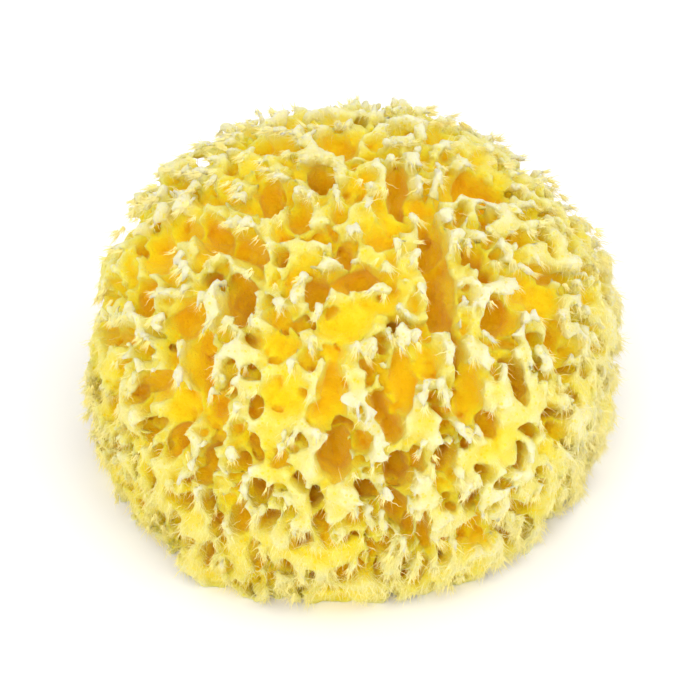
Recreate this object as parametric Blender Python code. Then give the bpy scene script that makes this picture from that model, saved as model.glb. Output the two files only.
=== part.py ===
"""A natural bath sponge: one domed, porous body, cut flat where it grew on the rock.

Metres, +Z up. The origin is the middle of the flat cut that the sponge rests on. The side with the
mapped hollows faces -Y. A round dome is shaped first. Its surface is sunk into every hollow and
raised into crests between them. The flat cut, the canals that end in it and the holes that run
right through near the rim are then cut away.
"""

import math
import random
from collections import namedtuple

import bmesh
import bpy
import numpy as np
from mathutils import Matrix, Vector, noise
from mathutils.bvhtree import BVHTree

MM = 0.001

# The dome: half its size each way, and how high its middle lies above the flat cut.
HALF_WIDTH = 64.5 * MM
HALF_DEPTH = 66.5 * MM
HALF_HEIGHT = 65.0 * MM
MIDDLE_HEIGHT = 28.0 * MM
DOME_DETAIL = 7

# Broad swellings of the dome: compass angle from +X, angle above the level, height and spread.
SWELLINGS = (
    (-150, 5, 2.5, 30),
    (-20, 25, 0.8, 26),
    (35, 40, 3.0, 28),
    (95, 15, 3.5, 30),
    (150, 35, -2.5, 24),
    (60, 5, -3.0, 22),
    (120, 70, 2.0, 30),
    (-95, 30, 1.5, 34),
)
UNEVEN_HEIGHT = 1.3 * MM
UNEVEN_SPACING = 13 * MM

# The flat cut's radius in millimetres, every 30 degrees from +X and anticlockwise.
FOOT = (57.5, 60, 62, 62, 62, 64, 66, 64, 63.5, 58, 55.5, 54.5)

# The place that the hollows are mapped from: how far and how high it is, and how far above the
# dome's middle it looks.
EYE_DISTANCE = 900 * MM
EYE_ELEVATION = math.radians(42)
LOOKS_ABOVE_MIDDLE = 1.4 * MM
LEAST_FACING = 0.42

# The dome's outline as seen from there, out to the tips of the crests: its distance from the middle
# of the map in millimetres, every 20 degrees from the right and anticlockwise. Below the middle
# the foot takes over.
OUTLINE = (65, 69.5, 66, 66, 66, 65.5, 68.5, 71, 71.5, 71.5, 70, 70, 70, 68, 66, 64, 63, 61)
OUTLINE_FADE = (-0.35, 0.15)

# Hollows, as seen from there, in millimetres: right and up from the middle of the map, half width,
# half height, lean in degrees anticlockwise, and depth.
CROWN_HOLLOWS = (
    (-44.5, 42.5, 3.5, 2.5, 0, 7),
    (-35, 40.5, 4.5, 2.5, 0, 6),
    (-29, 38, 2.5, 1.5, -10, 5),
    (-22, 40.5, 3.2, 4.2, 0, 10),
    (-17, 41.5, 2.8, 2.2, 0, 6),
    (-8, 45.5, 3.6, 3.4, 0, 10),
    (-13, 36, 3, 3, 0, 7),
    (-17.5, 31, 2.8, 2.4, 0, 6),
    (-8, 30.5, 3.5, 2, 0, 5),
    (-18.5, 24.5, 1.9, 2.1, 0, 8),
    (-29, 27.5, 5.4, 3.2, -25, 10),
    (-45, 32, 4.2, 2.6, 15, 8),
    (-37, 31, 3, 4, 0, 10),
    (-51, 27, 3.6, 4.4, 0, 8),
    (-22, 53.5, 8.5, 1.9, 0, 6),
    (-13, 59, 9, 1.3, 0, 5),
    (-2.5, 54.5, 4.3, 3.2, 0, 7),
    (5, 52, 3.5, 1.4, 0, 6),
    (13, 56, 2.4, 1.9, -30, 3),
    (14, 42.5, 2.2, 5.6, 15, 10),
    (0.5, 41, 2.3, 3, 0, 4),
    (11, 36.5, 4.6, 2.6, -35, 6),
    (8, 30, 3.8, 3, -10, 7),
    (20, 38.5, 3.6, 2.6, 0, 7),
    (21, 28, 2.9, 7, 0, 12),
    (20, 45.5, 1.5, 2, 30, 3),
    (25, 50, 1.4, 2, 0, 4),
    (27, 43, 2.9, 3.6, 0, 7),
    (35, 42.5, 6, 4, -20, 11),
    (24, 56, 4.6, 2.6, 15, 5),
)
RIGHT_HOLLOWS = (
    (47.5, 35, 3.6, 1.5, 0, 6),
    (44, 29, 2.8, 1.6, 0, 5),
    (34, 24, 2.3, 3.6, 20, 9),
    (37, 19, 2.3, 1.9, -30, 7),
    (49.5, 14.5, 6, 4.4, -30, 7),
    (54.5, 2, 2.6, 5.6, 0, 9),
    (53, 21, 5.6, 1.4, -10, 6),
    (40.5, 9, 3.9, 3.8, 0, 10),
    (40, 2.5, 4, 1.5, -5, 5),
    (39, -1, 3, 2, -20, 4),
    (43.5, -7.5, 2, 5.2, 25, 9),
    (24, 15, 3.3, 7.5, 0, 13),
    (27.5, 1, 1.6, 7.5, 15, 11),
    (19.5, 6, 3, 1.5, 0, 6),
    (12, 7, 1.8, 1.8, 0, 8),
    (19.5, -2.5, 2.8, 4.6, 0, 6),
    (14.5, -9, 3, 7, 0, 8),
    (10, -8.5, 2.2, 1.7, -25, 7),
    (9, -15.5, 2.3, 4, 35, 10),
    (11.5, -21, 2.5, 3, 0, 9),
    (22, -13, 1.5, 2.3, 20, 7),
    (25, -16.5, 2.8, 1.3, 0, 7),
    (28.5, -14, 1.8, 2.4, 0, 8),
    (32.5, -12, 2.3, 6.5, 0, 7),
    (37, -18.5, 2, 3.6, 0, 7),
    (47, -21, 2.3, 1.8, -20, 6),
    (52.5, -19, 2, 3, 0, 6),
    (44, -27.5, 1.3, 3, 15, 5),
    (25, -21, 2, 1.8, 0, 6),
)
LEFT_HOLLOWS = (
    (-2, 27, 3, 2.5, 0, 8),
    (0, 19.5, 6, 3, 5, 9),
    (-9, 16, 2.6, 3.9, 0, 10),
    (6, 12, 4, 2.6, 0, 4),
    (-1, 7.5, 6.2, 4.4, 0, 5),
    (-4.5, -0.5, 2.6, 3, 0, 5),
    (5, -5.5, 2.6, 1.5, -20, 6),
    (-5, -11, 3, 6.2, 0, 7),
    (-30, 13.5, 3, 5, 0, 13),
    (-37, 18, 2.3, 2.3, 0, 9),
    (-43, 9.5, 4.2, 3.8, 0, 9),
    (-39.5, -4.5, 3.2, 8.6, 5, 11),
    (-47, -0.5, 2, 6, 0, 7),
    (-36, -15.5, 3.3, 3.3, 0, 9),
    (-44.5, -16, 3.4, 5, 0, 7),
    (-54, 15, 2.8, 5, -10, 9),
    (-61, 4.5, 5, 2.4, 5, 6),
    (-53.5, 0.5, 2.4, 2.3, 0, 5),
    (-51, -9.5, 5, 3, 0, 7),
    (-61, -15, 1.8, 2.6, 0, 6),
    (-52.5, -19, 2, 1.8, 0, 5),
    (-24, -14.5, 1.6, 2.3, 0, 6),
    (-31, -10.5, 1.7, 1.3, 0, 5),
    (-25, -6, 2, 1.5, -10, 5),
    (-18, 2, 4, 3.6, 0, 5),
    (-20, 9, 2.5, 2.2, 0, 5),
    (-12.5, 7, 2, 1.6, 0, 6),
    (-25, 3, 2.5, 2, 0, 4),
    (-17, -12, 4.4, 5.4, 0, 4),
    (-7, -16.5, 3.4, 3.4, 0, 6),
    (-47, 22, 2.3, 3.5, 0, 6),
    (-58, 21, 1.8, 4, 0, 5),
)
SKIRT_HOLLOWS = (
    (-47, -24, 2, 4, 0, 8),
    (-37, -29, 2.9, 3.6, 0, 10),
    (-39, -34, 2.8, 2.6, 0, 7),
    (-29.5, -30, 2.3, 2.4, 0, 9),
    (-25, -25, 2.3, 2.9, 0, 9),
    (-24.5, -37, 2.8, 3.7, 0, 11),
    (-28.5, -44, 3, 3, 0, 7),
    (-22, -44, 2.3, 2.4, 0, 8),
    (-35, -46, 1.8, 1.6, 0, 7),
    (-36.5, -41, 1.5, 2.5, 0, 9),
    (-46, -44, 1.8, 2.9, 0, 7),
    (-44, -49.5, 3.4, 2.3, 0, 7),
    (-37.5, -52.5, 1.6, 3, 0, 6),
    (-43.5, -39, 1.8, 2.3, 0, 6),
    (-24, -53, 1.6, 3.8, 0, 7),
    (-4, -29, 3.8, 5.6, 0, 12),
    (-3.5, -20.5, 2.5, 2, 0, 10),
    (2.5, -24.5, 2.8, 3.4, 0, 7),
    (-13.5, -35, 1.8, 2, 0, 6),
    (-10, -39, 2, 3, 0, 9),
    (-7.5, -46, 2.8, 2.3, 0, 8),
    (-13.5, -49, 2, 2.3, 0, 6),
    (12.5, -32.5, 3.3, 5, 0, 12),
    (17.5, -29, 2, 3, 0, 9),
    (5, -37.5, 3.6, 1.8, -25, 9),
    (12, -42.5, 3, 4, 20, 11),
    (15.5, -48, 1.8, 3.4, 20, 7),
    (20, -48, 1.7, 5.4, 10, 7),
    (25, -28, 2.9, 3.1, 0, 9),
    (32, -38.5, 2.4, 3.1, 0, 9),
    (40, -34, 2.6, 1.4, 0, 5),
    (32, -47.5, 5, 2.4, 25, 7),
    (9, -53, 2, 1.5, 0, 5),
    (-16.5, -56, 1.8, 2.3, 0, 6),
    (-1, -57.5, 3.4, 1.8, 0, 4),
    (-18, -29, 2.5, 2, 0, 4),
)
MAPPED_HOLLOWS = CROWN_HOLLOWS + RIGHT_HOLLOWS + LEFT_HOLLOWS + SKIRT_HOLLOWS
MAPPED_WIDER = 1.25
MAPPED_DEEPER = 1.15
MAPPED_LEAN = 0.5

# Holes that run right through near the rim, seen from the same place: right, up, half width,
# half height and lean.
THROUGH_HOLES = (
    (-38, 48, 2.3, 1.5, 0),
    (-50.5, 17, 1.2, 1.9, 30),
    (-63.5, -9, 2, 1.4, 20),
    (-63, -24, 1.5, 2.2, 0),
    (-56.5, 32.5, 2.2, 2.2, 0),
    (38, -43.5, 1.8, 1, -35),
)
THROUGH_LENGTH = 80 * MM
THROUGH_SIDES = 7

# Hollows that fill what the map leaves, and the sides that it doesn't show, spread by rule.
SPREAD_STEPS = 1500
SPREAD_LOWEST = -28
SPREAD_HALVES = (5.2, 3.8, 2.6, 1.9)
SPREAD_VARIETY = 1.25
SPREAD_SLIM = 0.7
SPREAD_DEPTH = (1.5, 2.3)
SPREAD_LEAN = 0.3
SPREAD_OVERLAP = 1.2
MOST_ON_MAP = 2.8
MAP_EDGE = 0.25

# The form of the hollows' walls and of the crests that are left between them.
HOLLOW_NEAR = 16 * MM
WALL_POWER = 0.6
MOUTH_UNEVEN = 0.22
MOUTH_UNEVEN_SPACING = 3.5 * MM
CREST_RISE = 4.0 * MM
CREST_REACH = 2.0 * MM
CREST_WIDTH = 2.4 * MM
CREST_DROOP = 0.4
SMOOTH_ROUNDS = 3

# Canal mouths that the flat cut lays open.
CUT_HOLLOWS = 16
CUT_INNER_RADIUS = 16 * MM
CUT_OUTER_RADIUS = 48 * MM
CUT_HALF = 3.2
CUT_DEPTH = 8
CUT_SLIM = 0.6
CUT_BLOCK = 160 * MM

FIBRE_COLOUR = (0.83, 0.66, 0.22, 1)
FIBRE_ROUGHNESS = 0.95
JOIN_DISTANCE = 0.02 * MM
MOST_TRIANGLES = 8700
GOLDEN_ANGLE = math.pi * (3 - math.sqrt(5))
SEED = 7
WIDEST = 50 * MM

# A hollow: the middle of its mouth, the frame of its mouth's two half axes and its way in, and
# the inverse of that frame.
Hollow = namedtuple("Hollow", "place frame back")

RIGHT = Vector((1, 0, 0))
UP = Vector((0, math.sin(EYE_ELEVATION), math.cos(EYE_ELEVATION)))
TOWARDS = RIGHT.cross(UP)
MIDDLE = Vector((0, 0, MIDDLE_HEIGHT))
MAP_MIDDLE = MIDDLE + UP * LOOKS_ABOVE_MIDDLE
EYE = MAP_MIDDLE + TOWARDS * EYE_DISTANCE


def clear_scene():
    for obj in list(bpy.data.objects):
        bpy.data.objects.remove(obj, do_unlink=True)


def eased(value):
    """A share from 0 to 1 with a soft start and a soft end."""
    share = min(max(value, 0), 1)
    return share * share * (3 - 2 * share)


def round_value(values, angle):
    """A value from a ring of evenly spaced ones, at an angle round it."""
    place = angle / (2 * math.pi) * len(values) % len(values)
    first = int(place) % len(values)
    here, following = values[first], values[(first + 1) % len(values)]
    return here + (following - here) * eased(place - int(place))


def direction(compass, height):
    """The unit direction at a compass angle from +X and an angle above the level, in degrees."""
    turn, rise = math.radians(compass), math.radians(height)
    level = math.cos(rise)
    return Vector((math.cos(turn) * level, math.sin(turn) * level, math.sin(rise)))


def plain_outline(angle):
    """How far the plain round shape reaches from the middle of the map, at an angle round it."""
    tall = math.hypot(HALF_DEPTH * math.sin(EYE_ELEVATION), HALF_HEIGHT * math.cos(EYE_ELEVATION))
    across, along = math.cos(angle) / HALF_WIDTH, math.sin(angle) / tall
    above = LOOKS_ABOVE_MIDDLE / tall
    square, linear = across * across + along * along, along * above
    return (math.sqrt(linear * linear - square * (above * above - 1)) - linear) / square


def shaped(point):
    """A point of a round ball, moved to the dome's surface."""
    out = point.normalized()
    place = MIDDLE + Vector((out.x * HALF_WIDTH, out.y * HALF_DEPTH, out.z * HALF_HEIGHT))
    rim = 1 - out.dot(TOWARDS) ** 2

    seen = place - MAP_MIDDLE
    across, above = seen.dot(RIGHT), seen.dot(UP)
    angle = math.atan2(above, across)
    wanted = round_value(OUTLINE, angle) * MM - CREST_REACH
    start, full = OUTLINE_FADE
    share = rim * rim * eased((out.dot(UP) - start) / (full - start))
    place += (RIGHT * across + UP * above) * (wanted / plain_outline(angle) - 1) * share

    cut_level = math.sqrt(1 - (MIDDLE_HEIGHT / HALF_HEIGHT) ** 2)
    plain_foot = math.hypot(HALF_WIDTH * out.x, HALF_DEPTH * out.y) / math.hypot(out.x, out.y)
    foot = round_value(FOOT, math.atan2(out.y, out.x)) * MM
    spread = 1 + (foot / (plain_foot * cut_level) - 1) * eased(-out.z * HALF_HEIGHT / MIDDLE_HEIGHT)
    place.x *= spread
    place.y *= spread

    raised = UNEVEN_HEIGHT * noise.noise(place / UNEVEN_SPACING)
    for compass, height, swell, width in SWELLINGS:
        away = direction(compass, height).angle(out) / math.radians(width)
        raised += swell * MM * math.exp(-away * away)
    return place + out * raised * (1 - rim)


def dome():
    bm = bmesh.new()
    bmesh.ops.create_icosphere(bm, subdivisions=DOME_DETAIL, radius=1)
    for vert in bm.verts:
        vert.co = shaped(vert.co + Vector((1e-5, 0, 0)))
    bm.normal_update()
    return bm


def mapped_place(surface, across, above):
    """Where a point of the map, given in millimetres, lies on the surface, and its normal."""
    target = MAP_MIDDLE + (RIGHT * across + UP * above) * MM
    place, normal, _, _ = surface.ray_cast(EYE, target - EYE)
    if place is None:
        place, normal, _, _ = surface.find_nearest(target)
    return place, normal


def seen_edges(normal, half_width, half_height, lean):
    """Two half axes of a mouth that lie in the surface and look right from the eye."""
    facing = max(normal.dot(TOWARDS), LEAST_FACING)
    edges = []
    for half, angle in ((half_width, lean), (half_height, lean + 90)):
        turn = math.radians(angle)
        edge = (RIGHT * math.cos(turn) + UP * math.sin(turn)) * half * MM
        edges.append(edge - TOWARDS * (edge.dot(normal) / facing))
    return edges


def level_edges(normal, half_width, half_height, turn):
    """Two half axes of a mouth in the surface, turned by an angle from the level one."""
    level = normal.cross(Vector((0.1, 0, 1))).normalized()
    along = level * math.cos(turn) + normal.cross(level) * math.sin(turn)
    return [along * half_width * MM, normal.cross(along) * half_height * MM]


def stretch_piece(bm, verts, place, edges, inward):
    """Stretch a small unit shape to its three half axes, turned outside out, at its place."""
    frame = Matrix((*edges, inward)).transposed()
    for vert in verts:
        vert.co = place + frame @ vert.co
    if frame.determinant() < 0:
        faces = {face for vert in verts for face in vert.link_faces}
        bmesh.ops.reverse_faces(bm, faces=list(faces))


def spread_directions(steps, lowest):
    """Directions evenly round the dome, from straight up down to the lowest angle."""
    bottom = math.sin(math.radians(lowest))
    for step in range(steps):
        rise = 1 - (1 - bottom) * (step + 0.5) / steps
        level = math.sqrt(1 - rise * rise)
        turn = step * GOLDEN_ANGLE
        yield Vector((math.cos(turn) * level, math.sin(turn) * level, rise))


def new_hollow(place, edges, inward):
    frame = Matrix((*edges, inward)).transposed()
    return Hollow(place, frame, frame.inverted())


def clearance(place, hollows):
    """How far a place lies outside the mouth of the nearest hollow."""
    nearest = WIDEST
    for hollow in hollows:
        away = place - hollow.place
        if away.length > HOLLOW_NEAR:
            continue
        local = hollow.back @ away
        reach = max(math.hypot(local.x, local.y), 0.01)
        nearest = min(nearest, away.length * (1 - 1 / reach))
    return nearest


def mapped_hollows(surface):
    hollows = []
    for across, above, half_width, half_height, lean, depth in MAPPED_HOLLOWS:
        place, normal = mapped_place(surface, across, above)
        edges = seen_edges(normal, half_width * MAPPED_WIDER, half_height * MAPPED_WIDER, lean)
        inward = -(normal + TOWARDS * MAPPED_LEAN).normalized() * depth * MAPPED_DEEPER * MM
        hollows.append(new_hollow(place, edges, inward))
    return hollows


def add_spread_hollows(surface, hollows):
    """Fill what the map leaves, and the sides that it doesn't show, the widest hollows first."""
    rng = random.Random(SEED)
    directions = list(spread_directions(SPREAD_STEPS, SPREAD_LOWEST))
    for half in SPREAD_HALVES:
        rng.shuffle(directions)
        for out in directions:
            place, normal, _, _ = surface.ray_cast(MIDDLE, out)
            wide, slim = rng.uniform(1, SPREAD_VARIETY) * half, rng.uniform(SPREAD_SLIM, 1)
            turn, deep = rng.uniform(0, math.pi), rng.uniform(*SPREAD_DEPTH)
            sideways = Vector([rng.uniform(-SPREAD_LEAN, SPREAD_LEAN) for _ in range(3)])
            on_map = normal.dot(TOWARDS) > MAP_EDGE
            room = clearance(place, hollows) / MM * SPREAD_OVERLAP
            if room < half or (on_map and half > MOST_ON_MAP):
                continue
            wide = min(wide, room)
            edges = level_edges(normal, wide, wide * slim, turn)
            inward = (sideways - normal).normalized() * half * deep * MM
            hollows.append(new_hollow(place, edges, inward))


def sink_hollows(bm, hollows):
    """Carry the surface into every hollow, and raise the crests between them."""
    points = np.array([vert.co for vert in bm.verts])
    normals = np.array([vert.normal for vert in bm.verts])
    uneven = np.array([noise.noise(vert.co / MOUTH_UNEVEN_SPACING) for vert in bm.verts])
    depth, gap = np.zeros(len(points)), np.full(len(points), CREST_WIDTH)
    pull = np.zeros_like(points)
    for hollow in hollows:
        away = points - np.array(hollow.place)
        distance = np.linalg.norm(away, axis=1)
        near = distance < HOLLOW_NEAR
        local = away[near] @ np.array(hollow.back).T
        reach = np.hypot(local[:, 0], local[:, 1]) * (1 + MOUTH_UNEVEN * uneven[near])
        sunk = np.clip(1 - reach ** 2, 0, 1) ** WALL_POWER
        inward = hollow.frame.col[2]
        pull[near] += np.outer(sunk ** 2, inward)
        depth[near] = np.maximum(depth[near], sunk * inward.length)
        outside = distance[near] * (1 - 1 / np.maximum(reach, 0.01))
        gap[near] = np.minimum(gap[near], outside)
    way = pull / np.maximum(np.linalg.norm(pull, axis=1), 1e-9)[:, None]
    rise = CREST_RISE * np.clip(gap / CREST_WIDTH, 0, 1)
    tips = normals + np.array((0, 0, -CREST_DROOP))
    points += way * depth[:, None] + tips * rise[:, None]
    for vert, place in zip(bm.verts, points):
        vert.co = place
    for _ in range(SMOOTH_ROUNDS):
        bmesh.ops.smooth_vert(bm, verts=bm.verts, factor=0.5,
                              use_axis_x=True, use_axis_y=True, use_axis_z=True)


def ground_bmesh():
    """All that lies below the flat cut."""
    bm = bmesh.new()
    block = Matrix.Translation((0, 0, -CUT_BLOCK / 2)) @ Matrix.Scale(CUT_BLOCK, 4)
    bmesh.ops.create_cube(bm, size=1, matrix=block)
    return bm


def hole_bmesh(surface):
    """The canals that the flat cut lays open, and the holes that run right through."""
    bm = bmesh.new()
    for step in range(CUT_HOLLOWS):
        share = (step + 0.5) / CUT_HOLLOWS
        radius = CUT_INNER_RADIUS + (CUT_OUTER_RADIUS - CUT_INNER_RADIUS) * math.sqrt(share)
        turn = step * GOLDEN_ANGLE
        place = Vector((math.cos(turn) * radius, math.sin(turn) * radius, 0))
        slim = CUT_SLIM + (1 - CUT_SLIM) * math.cos(step) ** 2
        edges = level_edges(Vector((0, 0, -1)), CUT_HALF, CUT_HALF * slim, turn)
        verts = bmesh.ops.create_icosphere(bm, subdivisions=1, radius=1)["verts"]
        stretch_piece(bm, verts, place, edges, Vector((0, 0, CUT_DEPTH * slim * MM)))
    for across, above, half_width, half_height, lean in THROUGH_HOLES:
        place, _ = mapped_place(surface, across, above)
        verts = bmesh.ops.create_cone(bm, cap_ends=True, cap_tris=True, segments=THROUGH_SIDES,
                                      radius1=1, radius2=1, depth=1)["verts"]
        edges = seen_edges(TOWARDS, half_width, half_height, lean)
        stretch_piece(bm, verts, place, edges, TOWARDS * THROUGH_LENGTH)
    return bm


def new_object(name, bm):
    mesh = bpy.data.meshes.new(name)
    bm.to_mesh(mesh)
    bm.free()
    obj = bpy.data.objects.new(name, mesh)
    bpy.context.scene.collection.objects.link(obj)
    return obj


def cut_away(obj, name, bm):
    cutter = new_object(name, bm)
    cutter.hide_render = True
    cutter.display_type = "WIRE"
    cut = obj.modifiers.new(name, "BOOLEAN")
    cut.operation = "DIFFERENCE"
    cut.solver = "EXACT"
    cut.object = cutter
    return cutter


def patch_from(vert):
    """Every vertex that is joined to this one by edges."""
    patch, waiting = {vert}, [vert]
    while waiting:
        for edge in waiting.pop().link_edges:
            for end in edge.verts:
                if end not in patch:
                    patch.add(end)
                    waiting.append(end)
    return patch


def drop_specks(bm):
    """Keep the largest joined body alone, without what the hollows cut loose."""
    left, largest = set(bm.verts), set()
    while left:
        patch = patch_from(next(iter(left)))
        left -= patch
        largest = max(largest, patch, key=len)
    bmesh.ops.delete(bm, geom=[vert for vert in bm.verts if vert not in largest], context="VERTS")


def finished_mesh(obj):
    """The mesh that the modifiers give, in triangles, centred over the origin."""
    shown = obj.evaluated_get(bpy.context.evaluated_depsgraph_get())
    mesh = bpy.data.meshes.new_from_object(shown)
    bm = bmesh.new()
    bm.from_mesh(mesh)
    bmesh.ops.triangulate(bm, faces=bm.faces)
    bmesh.ops.remove_doubles(bm, verts=bm.verts, dist=JOIN_DISTANCE)
    bmesh.ops.dissolve_degenerate(bm, edges=bm.edges, dist=JOIN_DISTANCE)
    drop_specks(bm)
    for axis in (0, 1):
        ends = [vert.co[axis] for vert in bm.verts]
        shift = Vector((0, 0, 0))
        shift[axis] = -(min(ends) + max(ends)) / 2
        bmesh.ops.translate(bm, verts=bm.verts, vec=shift)
    bm.to_mesh(mesh)
    bm.free()
    return mesh


def fibre_material():
    material = bpy.data.materials.new("sponge fibre")
    material.use_nodes = True
    shader = material.node_tree.nodes["Principled BSDF"]
    shader.inputs["Base Color"].default_value = FIBRE_COLOUR
    shader.inputs["Roughness"].default_value = FIBRE_ROUGHNESS
    shader.inputs["Metallic"].default_value = 0
    return material


def main():
    clear_scene()
    ball = dome()
    surface = BVHTree.FromBMesh(ball)
    hollows = mapped_hollows(surface)
    add_spread_hollows(surface, hollows)
    sink_hollows(ball, hollows)
    sponge = new_object("sponge", ball)

    thin = sponge.modifiers.new("fewer faces", "DECIMATE")
    thin.ratio = MOST_TRIANGLES / len(sponge.data.polygons)
    ground = cut_away(sponge, "ground", ground_bmesh())
    holes = cut_away(sponge, "holes", hole_bmesh(surface))

    sponge.data = finished_mesh(sponge)
    sponge.modifiers.clear()
    sponge.data.materials.append(fibre_material())
    for cutter in (ground, holes):
        bpy.data.objects.remove(cutter, do_unlink=True)
    print("hollows", len(hollows), "triangles", len(sponge.data.polygons))


main()
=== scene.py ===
import math
import random

import bmesh
import bpy
import numpy as np
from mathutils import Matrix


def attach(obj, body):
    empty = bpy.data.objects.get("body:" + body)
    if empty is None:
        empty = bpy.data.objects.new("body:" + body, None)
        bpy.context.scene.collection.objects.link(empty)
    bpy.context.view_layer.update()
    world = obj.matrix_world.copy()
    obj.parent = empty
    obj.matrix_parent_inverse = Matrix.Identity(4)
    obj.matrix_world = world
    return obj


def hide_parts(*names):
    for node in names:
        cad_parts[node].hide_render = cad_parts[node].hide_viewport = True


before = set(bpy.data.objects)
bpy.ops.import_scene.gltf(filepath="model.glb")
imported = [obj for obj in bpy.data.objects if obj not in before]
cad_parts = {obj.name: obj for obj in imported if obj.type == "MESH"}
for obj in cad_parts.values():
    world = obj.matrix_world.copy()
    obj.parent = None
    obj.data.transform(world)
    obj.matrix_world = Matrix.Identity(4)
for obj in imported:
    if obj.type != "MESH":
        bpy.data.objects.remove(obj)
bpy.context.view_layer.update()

import openvdb
from mathutils import Matrix, Vector
from mathutils.bvhtree import BVHTree

mm = 0.001
print("frame loaded")

# where the photo was taken from
photoView = {
    "elevation": 42.0,  # degrees above the floor
    "distance": 0.9,
    "middle": (0.0, 0.94, 29.04),  # mm, the point in the middle of the picture
    "leastFacing": 0.42,  # limits how far a mapped mouth is stretched along the line of sight
    "lens": 180.1,
    "sensor": 36,
    "clipStart": 0.05,
}

rise = math.radians(photoView["elevation"])
viewRight = Vector((1, 0, 0))
viewUp = Vector((0, math.sin(rise), math.cos(rise)))
viewTowards = viewRight.cross(viewUp)
viewMiddle = Vector(photoView["middle"]) * mm
viewEye = viewMiddle + viewTowards * photoView["distance"]

# hollows as the photo shows them, in mm from the middle of the picture:
# right, up, half width, half height, lean in degrees, depth
crownHollows = [
    (-44.5, 42.5, 3.5, 2.5, 0, 7), (-35, 40.5, 4.5, 2.5, 0, 6), (-29, 38, 2.5, 1.5, -10, 5),
    (-22, 40.5, 3.2, 4.2, 0, 10), (-17, 41.5, 2.8, 2.2, 0, 6), (-8, 45.5, 3.6, 3.4, 0, 10),
    (-13, 36, 3, 3, 0, 7), (-17.5, 31, 2.8, 2.4, 0, 6), (-8, 30.5, 3.5, 2, 0, 5),
    (-18.5, 24.5, 1.9, 2.1, 0, 8), (-29, 27.5, 5.4, 3.2, -25, 10), (-45, 32, 4.2, 2.6, 15, 8),
    (-37, 31, 3, 4, 0, 10), (-51, 27, 3.6, 4.4, 0, 8), (-22, 53.5, 8.5, 1.9, 0, 6),
    (-13, 59, 9, 1.3, 0, 5), (-2.5, 54.5, 4.3, 3.2, 0, 7), (5, 52, 3.5, 1.4, 0, 6),
    (13, 56, 2.4, 1.9, -30, 3), (14, 42.5, 2.2, 5.6, 15, 10), (0.5, 41, 2.3, 3, 0, 4),
    (11, 36.5, 4.6, 2.6, -35, 6), (8, 30, 3.8, 3, -10, 7), (20, 38.5, 3.6, 2.6, 0, 7),
    (21, 28, 2.9, 7, 0, 12), (20, 45.5, 1.5, 2, 30, 3), (25, 50, 1.4, 2, 0, 4),
    (27, 43, 2.9, 3.6, 0, 7), (35, 42.5, 6, 4, -20, 11), (24, 56, 4.6, 2.6, 15, 5),
]
rightHollows = [
    (47.5, 35, 3.6, 1.5, 0, 6), (44, 29, 2.8, 1.6, 0, 5), (34, 24, 2.3, 3.6, 20, 9),
    (37, 19, 2.3, 1.9, -30, 7), (49.5, 14.5, 6, 4.4, -30, 7), (54.5, 2, 2.6, 5.6, 0, 9),
    (53, 21, 5.6, 1.4, -10, 6), (40.5, 9, 3.9, 3.8, 0, 10), (40, 2.5, 4, 1.5, -5, 5),
    (39, -1, 3, 2, -20, 4), (43.5, -7.5, 2, 5.2, 25, 9), (24, 15, 3.3, 7.5, 0, 13),
    (27.5, 1, 1.6, 7.5, 15, 11), (19.5, 6, 3, 1.5, 0, 6), (12, 7, 1.8, 1.8, 0, 8),
    (19.5, -2.5, 2.8, 4.6, 0, 6), (14.5, -9, 3, 7, 0, 8), (10, -8.5, 2.2, 1.7, -25, 7),
    (9, -15.5, 2.3, 4, 35, 10), (11.5, -21, 2.5, 3, 0, 9), (22, -13, 1.5, 2.3, 20, 7),
    (25, -16.5, 2.8, 1.3, 0, 7), (28.5, -14, 1.8, 2.4, 0, 8), (32.5, -12, 2.3, 6.5, 0, 7),
    (37, -18.5, 2, 3.6, 0, 7), (47, -21, 2.3, 1.8, -20, 6), (52.5, -19, 2, 3, 0, 6),
    (44, -27.5, 1.3, 3, 15, 5), (25, -21, 2, 1.8, 0, 6),
]
leftHollows = [
    (-2, 27, 3, 2.5, 0, 8), (0, 19.5, 6, 3, 5, 9), (-9, 16, 2.6, 3.9, 0, 10),
    (6, 12, 4, 2.6, 0, 4), (-1, 7.5, 6.2, 4.4, 0, 5), (-4.5, -0.5, 2.6, 3, 0, 5),
    (5, -5.5, 2.6, 1.5, -20, 6), (-5, -11, 3, 6.2, 0, 7), (-30, 13.5, 3, 5, 0, 13),
    (-37, 18, 2.3, 2.3, 0, 9), (-43, 9.5, 4.2, 3.8, 0, 9), (-39.5, -4.5, 3.2, 8.6, 5, 11),
    (-47, -0.5, 2, 6, 0, 7), (-36, -15.5, 3.3, 3.3, 0, 9), (-44.5, -16, 3.4, 5, 0, 7),
    (-54, 15, 2.8, 5, -10, 9), (-61, 4.5, 5, 2.4, 5, 6), (-53.5, 0.5, 2.4, 2.3, 0, 5),
    (-51, -9.5, 5, 3, 0, 7), (-61, -15, 1.8, 2.6, 0, 6), (-52.5, -19, 2, 1.8, 0, 5),
    (-24, -14.5, 1.6, 2.3, 0, 6), (-31, -10.5, 1.7, 1.3, 0, 5), (-25, -6, 2, 1.5, -10, 5),
    (-18, 2, 4, 3.6, 0, 5), (-20, 9, 2.5, 2.2, 0, 5), (-12.5, 7, 2, 1.6, 0, 6),
    (-25, 3, 2.5, 2, 0, 4), (-17, -12, 4.4, 5.4, 0, 4), (-7, -16.5, 3.4, 3.4, 0, 6),
    (-47, 22, 2.3, 3.5, 0, 6), (-58, 21, 1.8, 4, 0, 5),
]
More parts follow.
